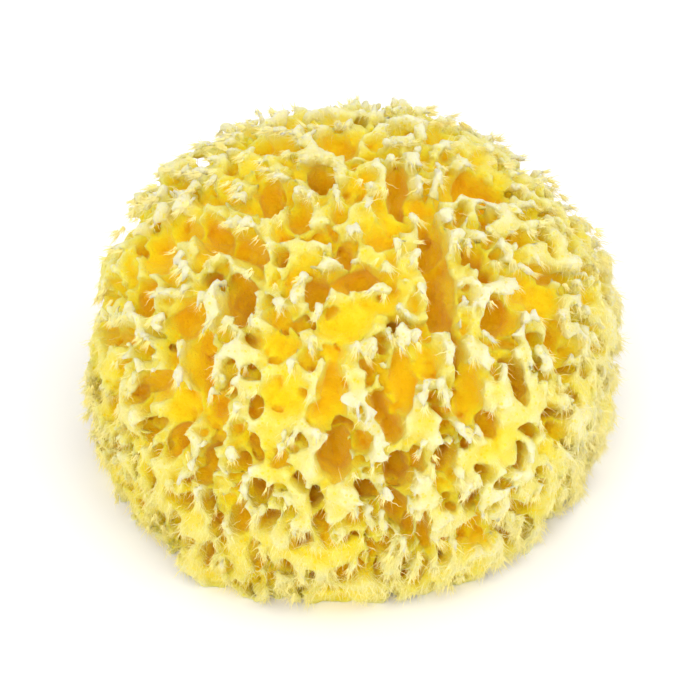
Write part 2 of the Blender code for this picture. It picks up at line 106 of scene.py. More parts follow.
skirtHollows = [
    (-47, -24, 2, 4, 0, 8), (-37, -29, 2.9, 3.6, 0, 10), (-39, -34, 2.8, 2.6, 0, 7),
    (-29.5, -30, 2.3, 2.4, 0, 9), (-25, -25, 2.3, 2.9, 0, 9), (-24.5, -37, 2.8, 3.7, 0, 11),
    (-28.5, -44, 3, 3, 0, 7), (-22, -44, 2.3, 2.4, 0, 8), (-35, -46, 1.8, 1.6, 0, 7),
    (-36.5, -41, 1.5, 2.5, 0, 9), (-46, -44, 1.8, 2.9, 0, 7), (-44, -49.5, 3.4, 2.3, 0, 7),
    (-37.5, -52.5, 1.6, 3, 0, 6), (-43.5, -39, 1.8, 2.3, 0, 6), (-24, -53, 1.6, 3.8, 0, 7),
    (-4, -29, 3.8, 5.6, 0, 12), (-3.5, -20.5, 2.5, 2, 0, 10), (2.5, -24.5, 2.8, 3.4, 0, 7),
    (-13.5, -35, 1.8, 2, 0, 6), (-10, -39, 2, 3, 0, 9), (-7.5, -46, 2.8, 2.3, 0, 8),
    (-13.5, -49, 2, 2.3, 0, 6), (12.5, -32.5, 3.3, 5, 0, 12), (17.5, -29, 2, 3, 0, 9),
    (5, -37.5, 3.6, 1.8, -25, 9), (12, -42.5, 3, 4, 20, 11), (15.5, -48, 1.8, 3.4, 20, 7),
    (20, -48, 1.7, 5.4, 10, 7), (25, -28, 2.9, 3.1, 0, 9), (32, -38.5, 2.4, 3.1, 0, 9),
    (40, -34, 2.6, 1.4, 0, 5), (32, -47.5, 5, 2.4, 25, 7), (9, -53, 2, 1.5, 0, 5),
    (-16.5, -56, 1.8, 2.3, 0, 6), (-1, -57.5, 3.4, 1.8, 0, 4), (-18, -29, 2.5, 2, 0, 4),
]
# holes right through near the rim: right, up, half width, half height, lean
throughHoles = [
    (-38, 48, 2.3, 1.5, 0), (-63.5, -9, 2, 1.4, 20), (-63, -24, 1.5, 2.2, 0),
    (-56.5, 32.5, 2.2, 2.2, 0),
]

# the smooth dome that the hollows are cut from
dome = {
    "joinDistance": 0.02 * mm,
    "cutTolerance": 0.3 * mm,
    "belowCut": 22 * mm,  # the form goes on this far below the cut, so smoothing leaves the foot alone
    "voxel": 2.2 * mm,
    "smoothRounds": 10,
    "smoothFactor": 0.5,
    "crestInset": 0.7 * mm,
    "footHeight": 15 * mm,
    "footNarrower": 0.035,
}


def addCamera():
    data = bpy.data.cameras.new("camera")
    data.sensor_width = photoView["sensor"]
    data.lens = photoView["lens"]
    data.clip_start = photoView["clipStart"]
    camera = bpy.data.objects.new("camera", data)
    camera.location = viewEye
    camera.rotation_euler = viewTowards.to_track_quat("Z", "Y").to_euler()
    bpy.context.scene.collection.objects.link(camera)
    bpy.context.scene.camera = camera


addCamera()
print("camera placed")


def newObject(name, bm):
    mesh = bpy.data.meshes.new(name)
    bm.to_mesh(mesh)
    bm.free()
    obj = bpy.data.objects.new(name, mesh)
    bpy.context.scene.collection.objects.link(obj)
    return obj


def applyModifiers(obj):
    shown = obj.evaluated_get(bpy.context.evaluated_depsgraph_get())
    mesh = bpy.data.meshes.new_from_object(shown)
    obj.modifiers.clear()
    obj.data = mesh


def dropObject(obj):
    bpy.data.objects.remove(obj, do_unlink=True)


# the outer form comes from the CAD solid: its hull, evened out and drawn in to where the crests end
def makeDome():
    bm = bmesh.new()
    bm.from_mesh(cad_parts["sponge"].data)
    bmesh.ops.remove_doubles(bm, verts=bm.verts, dist=dome["joinDistance"])
    foot = [vert.co.copy() for vert in bm.verts if vert.co.z < dome["cutTolerance"]]
    for place in foot:
        bm.verts.new((place.x, place.y, -dome["belowCut"]))
    hull = bmesh.ops.convex_hull(bm, input=bm.verts[:])
    kept = {item for item in hull["geom"] if isinstance(item, bmesh.types.BMFace)}
    bmesh.ops.delete(bm, geom=[face for face in bm.faces if face not in kept], context="FACES")
    obj = newObject("dome", bm)
    remesh = obj.modifiers.new("even faces", "REMESH")
    remesh.mode = "VOXEL"
    remesh.voxel_size = dome["voxel"]
    applyModifiers(obj)
    bm = bmesh.new()
    bm.from_mesh(obj.data)
    for _ in range(dome["smoothRounds"]):
        bmesh.ops.smooth_vert(bm, verts=bm.verts, factor=dome["smoothFactor"],
                              use_axis_x=True, use_axis_y=True, use_axis_z=True)
    bm.normal_update()
    for vert in bm.verts:
        vert.co -= vert.normal * dome["crestInset"]
        nearFoot = min(max(1 - vert.co.z / dome["footHeight"], 0), 1)
        narrower = 1 - dome["footNarrower"] * nearFoot ** 2
        vert.co.x *= narrower
        vert.co.y *= narrower
    bm.to_mesh(obj.data)
    bm.free()
    return obj


def coordinates(mesh):
    flat = np.empty(len(mesh.vertices) * 3, dtype=np.float32)
    mesh.vertices.foreach_get("co", flat)
    return flat.reshape(-1, 3)


def cornersOf(mesh, sides):
    corners = np.empty(len(mesh.loops), dtype=np.int32)
    mesh.loops.foreach_get("vertex_index", corners)
    return corners.reshape(-1, sides)


def treeOf(obj):
    bm = bmesh.new()
    bm.from_mesh(obj.data)
    tree = BVHTree.FromBMesh(bm)
    bm.free()
    return tree


domeObject = makeDome()
surface = treeOf(domeObject)
print("dome made:", len(domeObject.data.polygons), "faces")

# the hollows: the mapped ones, and those that fill the rest, the back and the sides
pits = {
    "mappedWider": 1.28,
    "skirtAbove": -22,  # mapped hollows lower in the picture than this are widened less
    "skirtWider": 1.1,
    "mappedDeeper": 1.1,
    "mappedLean": 0.5,  # how far a mapped hollow turns to the line of sight
    "sunkShare": 0.22,  # how far a hollow's middle lies below its mouth, as a share of its depth
    "fillSteps": 3200,
    "fillLowest": -25,
    "fillHalves": (4.8, 3.6, 2.5, 1.8),
    "fillWider": (1, 1.25),
    "fillSlim": (0.65, 1),
    "fillDepth": (1.3, 2.2),
    "fillStray": 0.35,
    "streakBelow": 36,  # mm above the floor: lower hollows are upright and slimmer
    "streakStray": 0.25,
    "streakSlim": 0.8,
    "mostOnMap": 3.0,
    "mapEdge": 0.25,
    "overlap": 1.25,
    "leastReach": 0.01,
    "pointsAtOnce": 400,
    "most": 6000,
    "seed": 11,
}

hollows = []  # place, frame and reach of each; the frame's columns are two half axes and the way in
knownPlaces = np.zeros((pits["most"], 3))
knownBacks = np.zeros((pits["most"], 3, 3))


def addHollow(place, edges, inward):
    shape = Matrix((*edges, inward)).transposed()
    knownPlaces[len(hollows)] = place
    knownBacks[len(hollows)] = np.array(shape.inverted())
    hollows.append((place, shape, max(edges[0].length, edges[1].length, inward.length)))


# how far each point lies from the nearest mouth, less than nothing inside one
def gapTo(points):
    count = len(hollows)
    gaps = []
    for part in np.array_split(np.asarray(points), max(1, len(points) // pits["pointsAtOnce"])):
        away = part[:, None, :] - knownPlaces[None, :count]
        local = np.einsum("hij,mhj->mhi", knownBacks[:count], away)
        reach = np.maximum(np.hypot(local[..., 0], local[..., 1]), pits["leastReach"])
        gap = np.linalg.norm(away, axis=2) * (1 - 1 / reach)
        gaps.append(gap.min(axis=1))
    return np.concatenate(gaps)


# the right of the side in the photo is smoother: broad crests, wide hollows, few tufts
calm = {
    "rightOf": 32,
    "above": 22,
    "leastFacing": 0.15,
    "leastHalf": 2.2,
    "notchShare": 0.22,
    "apart": 3.6,
}


def isCalm(place, normal):
    return (place.x > calm["rightOf"] * mm and place.z > calm["above"] * mm
            and normal.dot(viewTowards) > calm["leastFacing"])


def mappedPlace(across, above):
    target = viewMiddle + (viewRight * across + viewUp * above) * mm
    place, normal, _, _ = surface.ray_cast(viewEye, target - viewEye)
    if place is None:
        place, normal, _, _ = surface.find_nearest(target)
    return place, normal


# two half axes of a mouth that lie in the surface and look right from the eye
def seenEdges(normal, halfWidth, halfHeight, lean):
    facing = max(normal.dot(viewTowards), photoView["leastFacing"])
    edges = []
    for half, angle in ((halfWidth, lean), (halfHeight, lean + 90)):
        turn = math.radians(angle)
        edge = (viewRight * math.cos(turn) + viewUp * math.sin(turn)) * half * mm
        edges.append(edge - viewTowards * (edge.dot(normal) / facing))
    return edges


nearlyUp = Vector((0.1, 0, 1))  # leans a little, so that it isn't the normal of the crown


def levelEdges(normal, halfWidth, halfHeight, turn):
    level = normal.cross(nearlyUp).normalized()
    along = level * math.cos(turn) + normal.cross(level) * math.sin(turn)
    return [along * halfWidth * mm, normal.cross(along) * halfHeight * mm]


def spreadDirections(steps, lowest):
    bottom = math.sin(math.radians(lowest))
    for step in range(steps):
        up = 1 - (1 - bottom) * (step + 0.5) / steps
        level = math.sqrt(1 - up * up)
        turn = step * math.pi * (3 - math.sqrt(5))  # the golden angle
        yield Vector((math.cos(turn) * level, math.sin(turn) * level, up))


def listHollows():
    for across, above, halfWidth, halfHeight, lean, depth in (
            crownHollows + rightHollows + leftHollows + skirtHollows):
        place, normal = mappedPlace(across, above)
        wider = pits["mappedWider"] if above > pits["skirtAbove"] else pits["skirtWider"]
        edges = seenEdges(normal, halfWidth * wider, halfHeight * wider, lean)
        inward = -(normal + viewTowards * pits["mappedLean"]).normalized()
        addHollow(place, edges, inward * depth * pits["mappedDeeper"] * mm)
    rng = random.Random(pits["seed"])
    directions = list(spreadDirections(pits["fillSteps"], pits["fillLowest"]))
    for half in pits["fillHalves"]:
        rng.shuffle(directions)
        for out in directions:
            place, normal, _, _ = surface.ray_cast(viewMiddle, out)
            wide, slim = rng.uniform(*pits["fillWider"]) * half, rng.uniform(*pits["fillSlim"])
            turn, deep = rng.uniform(0, math.pi), rng.uniform(*pits["fillDepth"])
            if place.z < pits["streakBelow"] * mm:
                turn = math.pi / 2 + (turn - math.pi / 2) * pits["streakStray"]
                slim *= pits["streakSlim"]
            sideways = Vector([rng.uniform(-pits["fillStray"], pits["fillStray"]) for _ in range(3)])
            onMap = normal.dot(viewTowards) > pits["mapEdge"]
            room = gapTo([place])[0] / mm * pits["overlap"]
            if room < half or (onMap and half > pits["mostOnMap"]):
                continue
            if half < calm["leastHalf"] and isCalm(place, normal):
                continue
            wide = min(wide, room)
            inward = (sideways - normal).normalized() * half * deep * mm
            addHollow(place, levelEdges(normal, wide, wide * slim, turn), inward)


listHollows()
wideCount = len(hollows)
print("hollows listed:", wideCount)

# notches in the walls between neighbours, which leave the crests as ragged islands
notches = {
    "near": 16,
    "wall": (-1.5, 3.8),  # mm between two mouths that a notch may join
    "share": 0.6,
    "beyond": (0.9, 1.8),
    "along": (0.45, 0.85),
    "depth": (1.5, 3.6),
    "seed": 17,
}


def mouthReach(each, way):
    local = knownBacks[each] @ np.array(way)
    return 1 / math.hypot(local[0], local[1])


def listNotches():
    rng = random.Random(notches["seed"])
    found = list(hollows)
    places = knownPlaces[:len(found)].copy()
    for first, (place, _, _) in enumerate(found):
        far = np.linalg.norm(places[first + 1:] - places[first], axis=1)
        for second in np.flatnonzero(far < notches["near"] * mm) + first + 1:
            away = found[second][0] - place
            way = away.normalized()
            here, there = mouthReach(first, way), mouthReach(second, way)
            wall = (away.length - here - there) / mm
            if not notches["wall"][0] < wall < notches["wall"][1]:
                continue
            middle, normal, _, _ = surface.find_nearest(place + way * (here + wall * mm / 2))
            if rng.random() > (calm["notchShare"] if isCalm(middle, normal) else notches["share"]):
                continue
            along = (way - normal * way.dot(normal)).normalized()
            half = (max(wall, 0) / 2 + rng.uniform(*notches["beyond"])) * mm
            across = normal.cross(along) * min(here, there) * rng.uniform(*notches["along"])
            addHollow(middle, (along * half, across), -normal * rng.uniform(*notches["depth"]) * mm)


listNotches()
print("with notches:", len(hollows))

# tufts: tapered tips on the lips of the hollows, which hang out and down
tufts = {
    "steps": 16000,
    "lowest": -22,
    "above": 1.5,
    "lipGap": (0.1, 1.3),
    "over": 1.5,  # a tuft's tip has to end over a mouth
    "length": (1.4, 3.4),
    "thick": (0.5, 1.1),
    "tip": 0.2,
    "taper": 0.8,
    "apart": 1.9,
    "lowApart": 1.3,
    "lowBelow": 34,
    "leastPull": 0.05,
    "hang": 1.0,
    "stand": 0.3,
    "stray": 0.28,
    "root": 1.0,
    "seed": 23,
}
pull = Vector((0, -0.35, -1)).normalized()  # down, and a little towards the front


def hangWay(normal):
    way = pull - normal * pull.dot(normal)
    return way.normalized() if way.length > tufts["leastPull"] else Vector((0, -1, 0))


def listTufts():
    rng = random.Random(tufts["seed"])
    places, normals = [], []
    for out in spreadDirections(tufts["steps"], tufts["lowest"]):
        place, normal, _, _ = surface.ray_cast(viewMiddle, out)
        if place.z > tufts["above"] * mm:
            places.append(place)
            normals.append(normal)
    gaps = gapTo(places) / mm
    beyond = gapTo([place + hangWay(normal) * tufts["over"] * mm
                    for place, normal in zip(places, normals)]) / mm
    listed = []
    order = list(range(len(places)))
    rng.shuffle(order)
    for each in order:
        if not tufts["lipGap"][0] < gaps[each] < tufts["lipGap"][1] or beyond[each] > 0:
            continue
        place, normal = places[each], normals[each]
        apart = tufts["lowApart"] if place.z < tufts["lowBelow"] * mm else tufts["apart"]
        if isCalm(place, normal):
            apart = calm["apart"]
        if any((place - other[0]).length < apart * mm for other in listed):
            continue
        stray = Vector([rng.gauss(0, tufts["stray"]) for _ in range(3)])
        way = (hangWay(normal) * tufts["hang"] + normal * tufts["stand"] + stray).normalized()
        listed.append((place, way, rng.uniform(*tufts["length"]) * mm, rng.uniform(*tufts["thick"]) * mm))
    return listed


tuftList = listTufts()
print("tufts listed:", len(tuftList))

# the body is a field of distances in mm on an even grid, below nothing inside the sponge
body = {
    "step": 0.5,
    "low": (-74.0, -74.0, -3.0),
    "high": (74.0, 74.0, 100.0),
    "band": 3.0,
    "bandSpare": 2,
    "warp": ((6.0, 1.6), (2.4, 0.7)),  # spacing and height
    "lumps": ((7.0, 2.2), (2.8, 1.1)),
    "felt": (1.2, 0.4),
    "cloudGain": 1.8,
    "tipReach": 1.5,
    "hollowReach": 5.0,
    "hollowRoom": 1.4,
    "margin": 1,
    "rimRound": 1.3,
    "mouthOpen": 0.3,  # less than one opens a hollow outwards
    "least": 1e-4,
    "tuftBlend": 0.7,
    "tuftWarp": 0.6,
    "throughHalf": 40,
    "throughWarp": 0.4,
    "triangles": 194000,
    "seed": 3,
}
# smaller holes in the walls and the floor of a wide hollow
innerHoles = {
    "hollowLeast": 3.2,
    "each": 3,
    "far": (0.3, 0.85),
    "deep": (0.45, 0.95),
    "inward": 0.8,
    "half": (1.1, 2.0),
    "slim": (0.7, 1),
    "depth": 2.2,
    "room": 3.2,
}
# canals that end in the flat cut
baseCanals = {
    "most": 46,
    "tries": 400,
    "within": 54,
    "half": (1.2, 3.6),
    "wall": 0.6,
    "depth": 2.2,
    "room": 3.5,
}
fullTurn = 2 * math.pi
gridLow = np.array(body["low"], dtype=np.float32)
cells = tuple(int(round((high - start) / body["step"])) + 1
              for start, high in zip(body["low"], body["high"]))


# smooth random values over the grid, about -1 to 1, with lumps of the given spacing
def cloud(rng, spacing):
    values = rng.uniform(-1, 1, [int(count * body["step"] / spacing) + 4 for count in cells])
    values = values.astype(np.float32)
    for axis, count in enumerate(cells):
        at = np.arange(count) * body["step"] / spacing + 0.5
        first = at.astype(int)
        share = (at - first).astype(np.float32)
        share = share.reshape([-1 if side == axis else 1 for side in range(3)])
        # the three weights of a quadratic spline
        values = (np.take(values, first, axis) * (0.5 * (1 - share) ** 2)
                  + np.take(values, first + 1, axis) * (0.75 - (share - 0.5) ** 2)
                  + np.take(values, first + 2, axis) * (0.5 * share ** 2))
    return values * body["cloudGain"]


# the part of the grid within reach of a place, and where its points are
def boxRound(middle, reach):
    start = np.maximum(((middle - reach - gridLow) / body["step"]).astype(int), 0)
    end = np.minimum(((middle + reach - gridLow) / body["step"]).astype(int) + 2, cells)
    if (end <= start).any():
        return None, None
    box = tuple(slice(one, two) for one, two in zip(start, end))
    sides = [gridLow[axis] + np.arange(start[axis], end[axis], dtype=np.float32) * body["step"]
             for axis in range(3)]
    points = np.stack(np.meshgrid(*sides, indexing="ij"), axis=-1)
    return box, points


# about how far points lie from a hollow's wall, less than nothing inside it
def ballField(points, middle, back, sunk=0.0):
    local = (points - middle) @ back.T
    deep = local[..., 2] - sunk
    local[..., 2] = np.where(deep > 0, deep, deep * body["mouthOpen"])
    size = np.linalg.norm(local, axis=-1) + body["least"]
    slope = np.linalg.norm(local @ back, axis=-1) / size + body["least"]
    return (size - 1 / math.sqrt(1 - sunk * sunk)) / slope


def domeField():
    mesh = domeObject.data
    transform = openvdb.createLinearTransform(voxelSize=body["step"])
    grid = openvdb.FloatGrid.createLevelSetFromPolygons(
        (coordinates(mesh) / mm - gridLow).astype(np.float32),
        quads=cornersOf(mesh, 4).astype(np.uint32), transform=transform,
        halfWidth=body["band"] / body["step"] + body["bandSpare"])
    field = np.full(cells, body["band"], dtype=np.float32)
    grid.copyToArray(field)
    return field


# the way back from the grid's mm into a hollow's own frame
def backOf(shape):
    return np.array(shape.inverted(), dtype=np.float32) * mm


# says whether the hole reaches the grid
def sinkHole(holes, warp, middle, back, room, sunk=0.0):
    box, points = boxRound(middle, room)
    if box is None:
        return False
    holes[box] = np.minimum(holes[box], ballField(points + warp[box], middle, back, sunk))
    return True


def sinkHollows(rng, holes, warp):
    for each, (place, shape, reach) in enumerate(hollows):
        middle = np.array(place, dtype=np.float32) / mm
        room = reach / mm * body["hollowRoom"] + body["margin"]
        sunk = pits["sunkShare"] if each < wideCount else 0.0  # the middle of a notch is in its mouth
        if not sinkHole(holes, warp, middle, backOf(shape), room, sunk):
            continue
        if reach < innerHoles["hollowLeast"] * mm or each >= wideCount:
            continue
        for _ in range(innerHoles["each"]):
            turn, far = rng.uniform(0, fullTurn), rng.uniform(*innerHoles["far"])
            half, deep = rng.uniform(*innerHoles["half"]), rng.uniform(*innerHoles["deep"])
            local = Vector((math.cos(turn) * far, math.sin(turn) * far, deep))
            inner = np.array(place + shape @ local, dtype=np.float32) / mm
            way = (shape @ Vector((local.x, local.y, innerHoles["inward"]))).normalized()
            edges = levelEdges(way, half, half * rng.uniform(*innerHoles["slim"]), turn)
            small = Matrix((*edges, way * half * innerHoles["depth"] * mm)).transposed()
            sinkHole(holes, warp, inner, backOf(small), half * innerHoles["room"])


def sinkCanals(rng, holes, warp):
    taken = []
    for _ in range(baseCanals["tries"]):
        turn, far = rng.uniform(0, fullTurn), baseCanals["within"] * math.sqrt(rng.random())
        half = rng.uniform(*baseCanals["half"])
        middle = np.array((math.cos(turn) * far, math.sin(turn) * far, 0), dtype=np.float32)
        clear = all(np.linalg.norm(middle - other) > half + size + baseCanals["wall"]
                    for other, size in taken)
        if clear and len(taken) < baseCanals["most"]:
            taken.append((middle, half))
            back = np.diag((1 / half, 1 / half, 1 / (half * baseCanals["depth"]))).astype(np.float32)
            sinkHole(holes, warp, middle, back, half * baseCanals["room"])


# see-through holes near the rim run along the line of sight
def cutThrough(holes, warp):
    for across, above, halfWidth, halfHeight, lean in throughHoles:
        middle = viewMiddle + (viewRight * across + viewUp * above) * mm
        ray = (middle - viewEye).normalized()
        turn = math.radians(lean)
        wide = viewRight * math.cos(turn) + viewUp * math.sin(turn)
        shape = Matrix((wide * halfWidth, ray.cross(wide) * halfHeight, ray)).transposed()
        middle = np.array(middle, dtype=np.float32) / mm
        box, points = boxRound(middle, body["throughHalf"])
        away = points + warp[box] * body["throughWarp"] - middle
        local = away @ np.array(shape.inverted(), dtype=np.float32).T
        part = (np.hypot(local[..., 0], local[..., 1]) - 1) * min(halfWidth, halfHeight)
        holes[box] = np.minimum(holes[box], part)


def addTufts(field, warp):
    blendWidth = body["tuftBlend"]
    for place, way, length, thick in tuftList:
        root = np.array(place - way * tufts["root"] * mm, dtype=np.float32) / mm
        along = np.array(way, dtype=np.float32) * (length / mm + tufts["root"])
        room = np.linalg.norm(along) / 2 + thick / mm + body["margin"]
        box, points = boxRound(root + along / 2, room)
        if box is None:
            continue
        away = points + warp[box] * body["tuftWarp"] - root
        share = np.clip(away @ along / (along @ along), 0, 1)
        part = (np.linalg.norm(away - share[..., None] * along, axis=-1)
                - (thick / mm * (1 - share) ** tufts["taper"] + tufts["tip"] * share))
        blend = np.maximum(blendWidth - np.abs(field[box] - part), 0) / blendWidth
        field[box] = np.minimum(field[box], part) - blend * blend * blendWidth / 4


def bodyField():
    rng = np.random.default_rng(body["seed"])
    field = domeField()
    for spacing, height in body["lumps"]:
        field += cloud(rng, spacing) * height
    warp = np.zeros((*cells, 3), dtype=np.float32)
    for spacing, height in body["warp"]:
        for axis in range(3):
            warp[..., axis] += cloud(rng, spacing) * height
    print("dome field made")
    holes = np.full(cells, body["band"], dtype=np.float32)
    sinkHollows(rng, holes, warp)
    sinkCanals(rng, holes, warp)
    cutThrough(holes, warp)
    print("hollows sunk")
    # the dome without the holes, with rounded rims
    cut = np.maximum(body["rimRound"] - np.abs(field + holes), 0) / body["rimRound"]
    field = np.maximum(field, -holes) + cut * cut * body["rimRound"] / 4
    addTufts(field, warp)
    print("tufts added")
    spacing, height = body["felt"]
    field += cloud(rng, spacing) * height
    # flat at the cut
    level = gridLow[2] + np.arange(cells[2], dtype=np.float32) * body["step"]
    return np.maximum(field, -level[None, None, :])


# how much of the room round each grid point is filled, out to the given reach
def fillRound(field, reach):
    share = (field < 0).astype(np.float32)
    width = int(reach / body["step"])
    for axis in range(3):
        for _ in range(2):
            size = share.shape[axis]
            total = np.cumsum(share, axis=axis)
            upper = np.take(total, np.minimum(np.arange(size) + width, size - 1), axis)
            lower = np.take(total, np.maximum(np.arange(size) - width - 1, 0), axis)
            share = (upper - lower) / (2 * width + 1)
    return share


def sampled(values, places):
    at = (places / mm - gridLow) / body["step"]
    first = np.clip(at.astype(int), 0, np.array(cells) - 2)
    part = at - first
    result = np.zeros(len(places))
    for corner in range(8):
        side = np.array([corner >> axis & 1 for axis in range(3)])
        weight = np.where(side, part, 1 - part).prod(axis=1)
        result += values[tuple((first + side).T)] * weight
    return result


def meshFromField(name, field):
    grid = openvdb.FloatGrid(background=body["band"])
    grid.copyFromArray(np.clip(field, -body["band"], body["band"]))
    points, quads = grid.convertToQuads(0)
    mesh = bpy.data.meshes.new(name)
    mesh.from_pydata((points * body["step"] + gridLow) * mm, [], quads)
    obj = bpy.data.objects.new(name, mesh)
    bpy.context.scene.collection.objects.link(obj)
    return obj


# only the largest shell stays: specks and bubbles cut off by the noise go
def keepLargest(mesh):
    bm = bmesh.new()
    bm.from_mesh(mesh)
    left = set(bm.verts)
    largest = set()
    while left:
        start = left.pop()
        shell, edge = {start}, [start]
        while edge:
            for side in edge.pop().link_edges:
                for vert in side.verts:
                    if vert not in shell:
                        shell.add(vert)
                        edge.append(vert)
        left -= shell
        if len(shell) > len(largest):
            largest = shell
    bmesh.ops.delete(bm, geom=[vert for vert in bm.verts if vert not in largest], context="VERTS")
    bm.to_mesh(mesh)
    bm.free()


def makeBody():
    field = bodyField()
    obj = meshFromField("spongeBody", field)
    faces = len(obj.data.polygons)
    print("field meshed:", faces, "faces")
    thin = obj.modifiers.new("fewer faces", "DECIMATE")
    thin.ratio = body["triangles"] / (2 * faces)
    thin.use_collapse_triangulate = True
    applyModifiers(obj)
    keepLargest(obj.data)
    print("body thinned:", len(obj.data.polygons), "faces")
    obj.data.shade_smooth()
    places = coordinates(obj.data)
    tip = 1 - 2 * sampled(fillRound(field, body["tipReach"]), places)
    shut = 2 * sampled(fillRound(field, body["hollowReach"]), places) - 1
    return obj, field, tip, shut


bodyObject, fibreField, bodyTip, bodyShut = makeBody()
dropObject(domeObject)


# depth below the outer form in mm, how far a place stands out, and how shut in it is
def addMeasures(mesh):
    places = coordinates(mesh)
    depth = np.empty(len(places))
    for each, place in enumerate(places):
        near, normal, _, _ = surface.find_nearest(Vector(place))
        depth[each] = (near - Vector(place)).dot(normal) / mm
    for name, values in (("depth", depth), ("tip", bodyTip), ("shut", bodyShut)):
        layer = mesh.attributes.new(name, "FLOAT", "POINT")
        layer.data.foreach_set("value", values.astype(np.float32))
    return depth


bodyDepth = addMeasures(bodyObject.data)
print("measures added")


# a screen colour as the light values that a node takes
def linear(red, green, blue):
    values = []
    for value in (red, green, blue):
        value = value / 255
        values.append(value / 12.92 if value < 0.04045 else ((value + 0.055) / 1.055) ** 2.4)
    return (*values, 1)


# the fibre's colour by how deep and shut in it is: cream tips, yellow walls, amber hollows; partly the
# fibre's own deeper gold inside, partly painted shade and painted glow of light through the fibre in the
# hollows, and painted light on the standing-out tips
finish = {
    "colours": (
        (-6.6, linear(238, 231, 192)),
        (-4.6, linear(237, 227, 156)),
        (-2.2, linear(238, 222, 104)),
        (0.8, linear(243, 219, 48)),
        (4.0, linear(253, 215, 10)),
        (8.5, linear(255, 202, 2)),
    ),
    "tipShare": -2.4,
    "shutShare": 6.5,
    "depthShare": 0.62,
    "mottles": ((50, 1, 3.0), (190, 3, 3.5), (900, 2, 2.5)),  # scale, detail, weight
    # painted shade of tiny pores, as dark specks
    "poreShade": (620, 0.19, 2.8),  # scale, size, weight
    "poreShadeEdge": 0.12,
    # painted shade: the foot and the left face away from the key light and are painted a deeper yellow
    "lowWay": (-0.5, 0, -1),
    "lowFrom": -0.055,
    "lowTo": 0.01,
    "lowShadeShare": 2.4,  # the foot and the left are a deeper yellow
    "roughness": 0.92,
    "specular": 0.15,
    "sheen": 0.15,
    "subsurface": 0.7,
    "subsurfaceScale": 0.0045,
    "subsurfaceRadius": (1.0, 0.85, 0.15),
    "grain": (1000, 5, 0.65),  # scale, detail, roughness
    "grainStrength": 0.8,
    "grainDistance": 0.0011,
}


def newNode(tree, kind, **settings):
    node = tree.nodes.new(kind)
    for name, value in settings.items():
        setattr(node, name, value)
    return node


def setInputs(node, values):
    for name, value in values.items():
        node.inputs[name].default_value = value


# painted shade: rises from nothing at the crown to the given share at the foot
def addLowShade(tree, place, share):
    way = newNode(tree, "ShaderNodeVectorMath", operation="DOT_PRODUCT")
    way.inputs[1].default_value = finish["lowWay"]
    tree.links.new(place.outputs["Object"], way.inputs[0])
    rising = newNode(tree, "ShaderNodeMapRange")
    setInputs(rising, {"From Min": finish["lowFrom"], "From Max": finish["lowTo"], "To Max": share})
    tree.links.new(way.outputs["Value"], rising.inputs["Value"])
    return rising


# the total so far, and a value times its weight
def addWeighted(tree, total, value, weight):
    more = newNode(tree, "ShaderNodeMath", operation="MULTIPLY_ADD")
    more.inputs[1].default_value = weight
    tree.links.new(value, more.inputs[0])
    tree.links.new(total.outputs[0], more.inputs[2])
    return more


